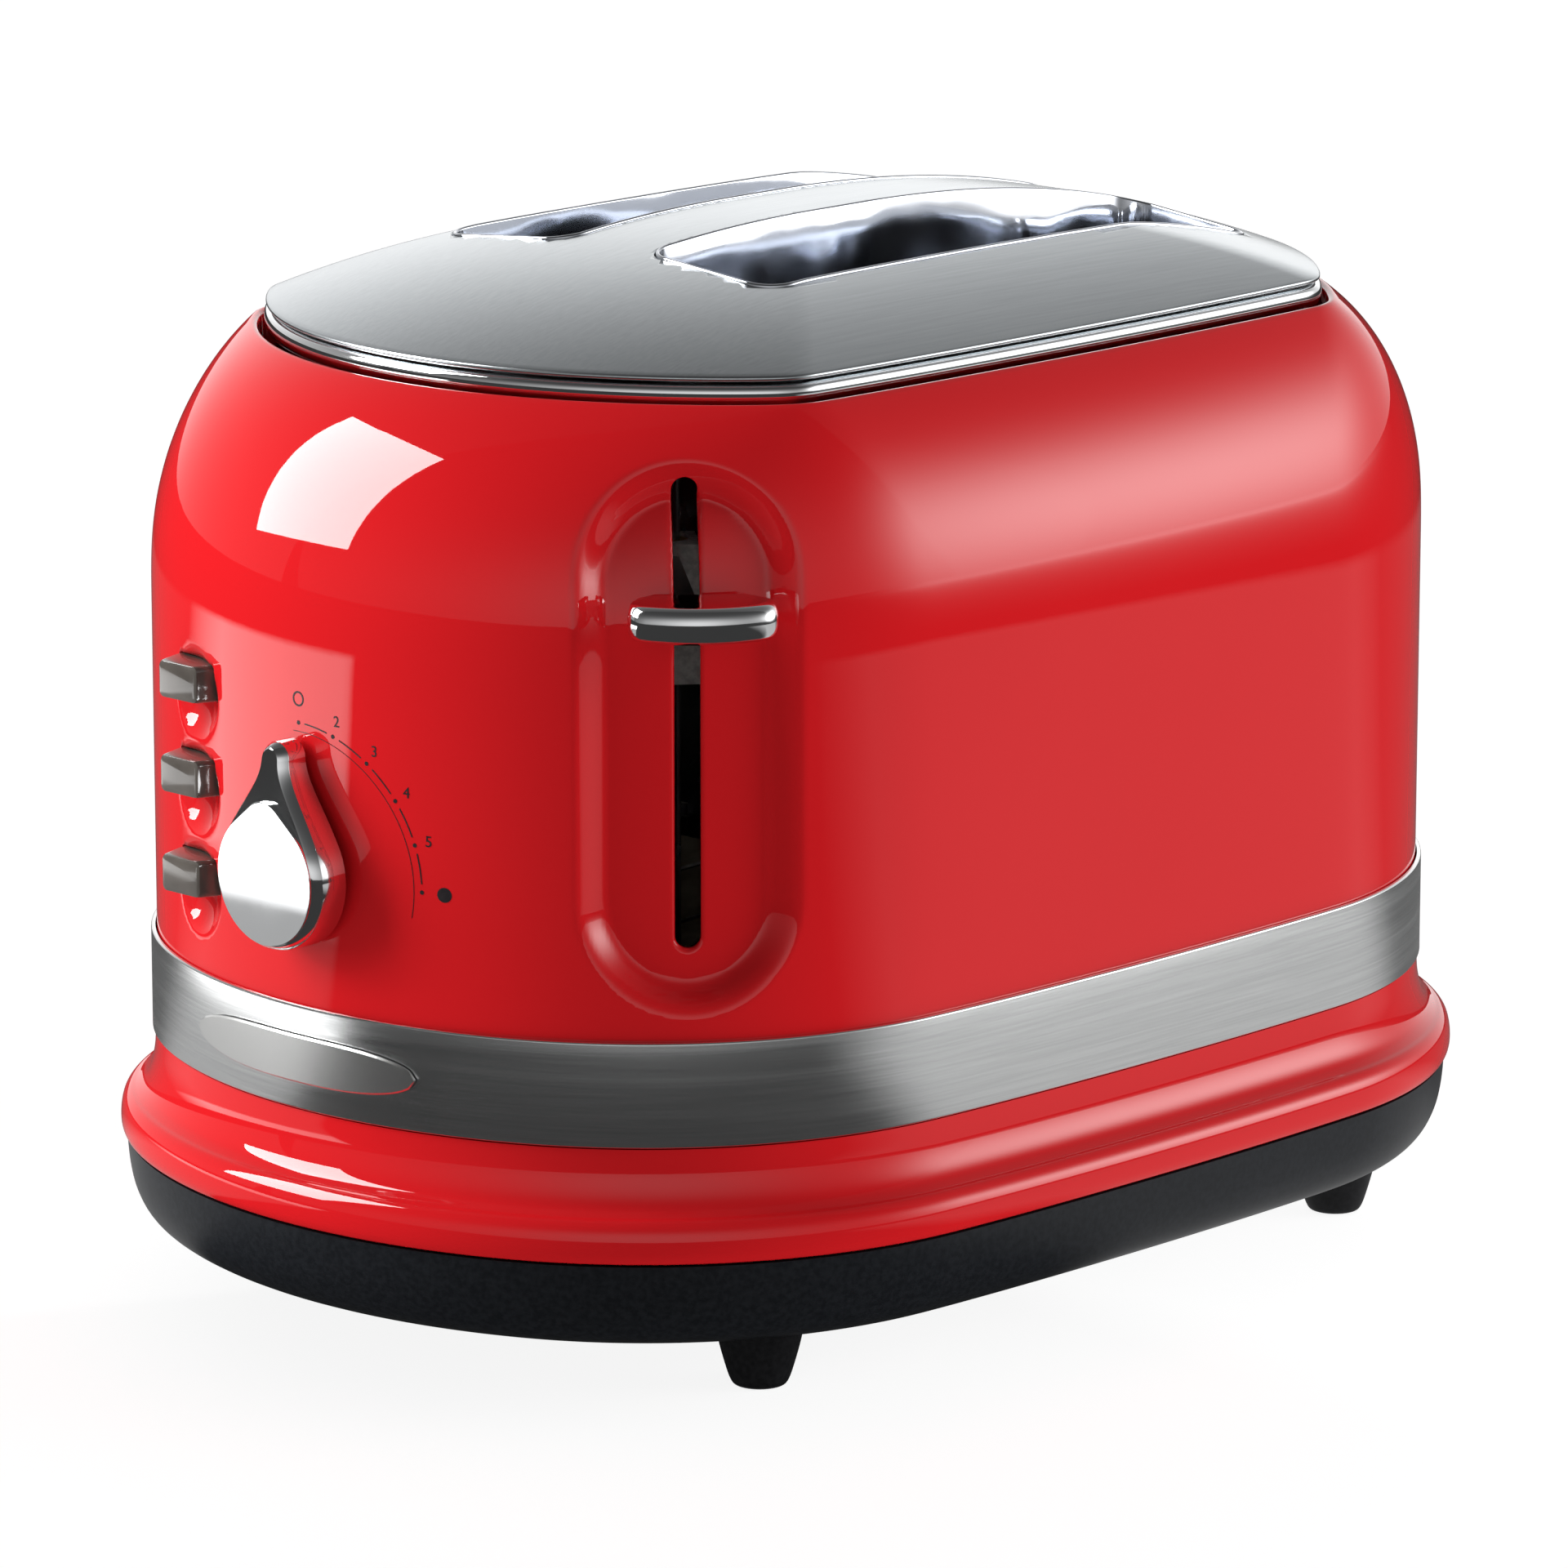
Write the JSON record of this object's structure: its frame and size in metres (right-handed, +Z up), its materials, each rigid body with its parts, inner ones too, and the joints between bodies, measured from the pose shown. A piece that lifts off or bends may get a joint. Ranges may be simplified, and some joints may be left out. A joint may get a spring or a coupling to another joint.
{
  "type": "pop up toaster",
  "caption": "Rounded pop up toaster with two long bread slots, a side carriage lever in a recessed track, a browning dial, push buttons and a rear crumb tray.",
  "frame": {"origin": "middle of the footprint on the surface the feet stand on", "axes": "+Z up; the bread slots run along Y; the end with the dial and buttons faces -Y, the lever is on the front right corner"},
  "size_m": [0.1944, 0.28, 0.2027],
  "materials": {
    "red_paint": "high gloss enamel",
    "brushed_band": "brushed along the band",
    "satin_lid": "fine satin",
    "chrome": "mirror polished",
    "black_plastic": "satin moulded",
    "foot_rubber": "matt",
    "smoked_plastic": "smoky, polished",
    "plated_sheet": "zinc plated sheet",
    "steel_wire": "nickel plated",
    "mica": "pressed mica board",
    "heater_alloy": "oxidised resistance ribbon",
    "circuit_board": "lacquered laminate",
    "copper": "enamelled winding",
    "nylon": "moulded",
    "bush_brass": "turned"
  },
  "bodies": {
    "housing": {"badge_plate": "chrome", "base_pan": "black_plastic", "button_cancel_switch": "black_plastic", "button_defrost_switch": "black_plastic", "button_reheat_switch": "black_plastic", "chassis_floor": "plated_sheet", "chassis_front": "plated_sheet", "chassis_rear": "plated_sheet", "control_board": "circuit_board", "cord_gland": "foot_rubber", "dial_pot": "black_plastic", "foot_front_left": "foot_rubber", "foot_front_right": "foot_rubber", "foot_rear_left": "foot_rubber", "foot_rear_right": "foot_rubber", "guide_rod": "steel_wire", "heater_board_centre": "mica", "heater_board_left": "mica", "heater_board_right": "mica", "heater_ribbon_centre": "heater_alloy", "heater_ribbon_left": "heater_alloy", "heater_ribbon_right": "heater_alloy", "lid_trim": "chrome", "lift_spring": "steel_wire", "lower_skirt": "red_paint", "magnet_coil": "copper", "magnet_core": "plated_sheet", "outer_shell": "red_paint", "rod_bracket": "plated_sheet", "screw_front_left": "steel_wire", "screw_front_right": "steel_wire", "screw_rear_left": "steel_wire", "screw_rear_right": "steel_wire", "side_reflector_left": "plated_sheet", "side_reflector_right": "plated_sheet", "slot_throat_left": "chrome", "slot_throat_right": "chrome", "steel_band": "brushed_band", "top_lid": "satin_lid"},
    "carriage": {"slide_block": "nylon", "slide_bush": "bush_brass", "carriage_plate": "plated_sheet", "bread_rack_left": "plated_sheet", "bread_rack_right": "plated_sheet", "latch_plate": "plated_sheet", "lever_arm": "plated_sheet", "lever_knob": "chrome"},
    "dial": {"dial_knob": "chrome", "dial_cap": "chrome", "dial_shaft": "plated_sheet"},
    "tray": {"crumb_tray": "plated_sheet", "tray_handle": "black_plastic"},
    "guard_left_outer_cage": {"guard_left_outer": "steel_wire"},
    "guard_left_inner_cage": {"guard_left_inner": "steel_wire"},
    "guard_right_inner_cage": {"guard_right_inner": "steel_wire"},
    "guard_right_outer_cage": {"guard_right_outer": "steel_wire"},
    "button_cancel_cap": {"button_cancel": "smoked_plastic"},
    "button_reheat_cap": {"button_reheat": "smoked_plastic"},
    "button_defrost_cap": {"button_defrost": "smoked_plastic"}
  },
  "joints": [
    {"name": "carriage_slide", "type": "slide", "parent": "housing", "child": "carriage", "axis": [0, 0, 1], "range_m": [-0.058, 0.016], "stiffness_N_per_m": 400, "deforming": ["lift_spring"]},
    {"name": "dial_turn", "type": "hinge", "parent": "housing", "child": "dial", "pos_m": [0.0014, -0.136, 0.0952], "axis": [0, 1, 0], "range_deg": [0, 90]},
    {"name": "tray_slide", "type": "slide", "parent": "housing", "child": "tray", "axis": [0, 1, 0], "range_m": [0, 0.19]},
    {"name": "button_cancel_press", "type": "slide", "parent": "housing", "child": "button_cancel_cap", "axis": [0, 1, 0], "range_m": [0, 0.0015], "stiffness_N_per_m": 800},
    {"name": "button_reheat_press", "type": "slide", "parent": "housing", "child": "button_reheat_cap", "axis": [0, 1, 0], "range_m": [0, 0.0015], "stiffness_N_per_m": 800},
    {"name": "button_defrost_press", "type": "slide", "parent": "housing", "child": "button_defrost_cap", "axis": [0, 1, 0], "range_m": [0, 0.0015], "stiffness_N_per_m": 800},
    {"name": "guard_left_outer_swing", "type": "hinge", "parent": "housing", "child": "guard_left_outer_cage", "pos_m": [-0.043, 0.0155, 0.038], "axis": [0, 1, 0], "range_deg": [-1.4, 4.8]},
    {"name": "guard_left_inner_swing", "type": "hinge", "parent": "housing", "child": "guard_left_inner_cage", "pos_m": [-0.011, 0.0155, 0.038], "axis": [0, 1, 0], "range_deg": [-4.8, 1.4]},
    {"name": "guard_right_inner_swing", "type": "hinge", "parent": "housing", "child": "guard_right_inner_cage", "pos_m": [0.011, 0.0155, 0.038], "axis": [0, 1, 0], "range_deg": [-1.4, 4.8]},
    {"name": "guard_right_outer_swing", "type": "hinge", "parent": "housing", "child": "guard_right_outer_cage", "pos_m": [0.043, 0.0155, 0.038], "axis": [0, 1, 0], "range_deg": [-4.8, 1.4]}
  ],
  "couplings": [
    {"joint": "guard_left_outer_swing", "follows": "carriage_slide", "rad_per_m": -1.396},
    {"joint": "guard_left_inner_swing", "follows": "carriage_slide", "rad_per_m": 1.396},
    {"joint": "guard_right_inner_swing", "follows": "carriage_slide", "rad_per_m": -1.396},
    {"joint": "guard_right_outer_swing", "follows": "carriage_slide", "rad_per_m": 1.396}
  ]
}
